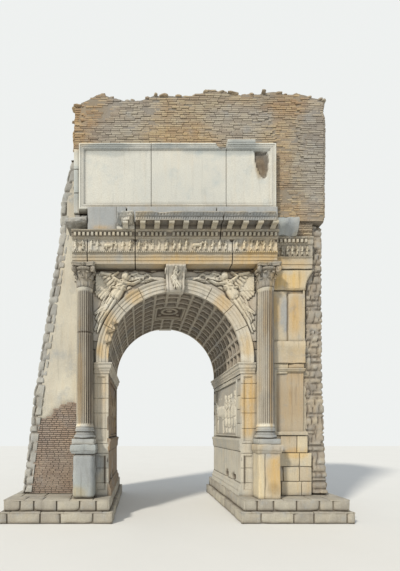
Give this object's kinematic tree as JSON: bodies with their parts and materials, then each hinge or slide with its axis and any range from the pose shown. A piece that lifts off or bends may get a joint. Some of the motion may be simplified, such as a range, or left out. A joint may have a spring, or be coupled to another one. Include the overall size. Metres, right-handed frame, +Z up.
{
  "type": "ruined triumphal arch",
  "caption": "Ruined Roman triumphal arch: coffered passage between piers with engaged fluted columns, broken entablature, blank attic panel, brick fill above and rubble flanks.",
  "frame": {"origin": "on the ground, under the middle of the passage", "axes": "+X along the front towards the end with the surviving side bay, +Y through the passage from front to back, +Z up"},
  "size_m": [13.5, 7.05, 17.3],
  "materials": {
    "foundation_stone": "rough",
    "marble": "weathered",
    "relief_marble": "carved",
    "weathered_marble": "weathered",
    "ochre_marble": "weathered",
    "dark_marble": "carved",
    "grey_stone": "rough",
    "pale_panel": "honed",
    "brick": "rough",
    "stucco": "plastered",
    "rubble": "rough"
  },
  "bodies": {
    "root": {"left_foundation": "foundation_stone", "right_foundation": "foundation_stone", "left_pier": "marble", "right_pier": "marble", "left_passage_relief": "relief_marble", "right_passage_relief": "relief_marble", "left_impost": "marble", "right_impost": "marble", "coffered_vault": "weathered_marble", "haunch_masonry": "marble", "front_archivolt": "marble", "back_archivolt": "marble", "front_keystone": "relief_marble", "back_keystone": "relief_marble", "front_spandrels": "relief_marble", "back_spandrels": "relief_marble", "front_left_pedestal": "ochre_marble", "front_right_pedestal": "ochre_marble", "back_left_pedestal": "ochre_marble", "back_right_pedestal": "ochre_marble", "column_bases": "marble", "front_left_shaft": "marble", "front_right_shaft": "marble", "back_left_shaft": "marble", "back_right_shaft": "marble", "front_left_capital": "dark_marble", "front_right_capital": "dark_marble", "back_left_capital": "dark_marble", "back_right_capital": "dark_marble", "front_entablature": "weathered_marble", "back_entablature": "weathered_marble", "front_cornice": "weathered_marble", "back_cornice": "weathered_marble", "cornice_repairs": "grey_stone", "upper_core": "brick", "front_attic_base": "grey_stone", "back_attic_base": "grey_stone", "front_inscription_panel": "pale_panel", "back_inscription_panel": "pale_panel", "brick_mass": "brick", "left_flank_wall": "stucco", "left_flank_quoins": "grey_stone", "right_bay_wall": "ochre_marble", "right_bay_entablature": "weathered_marble", "right_flank": "rubble"}
  },
  "joints": []
}
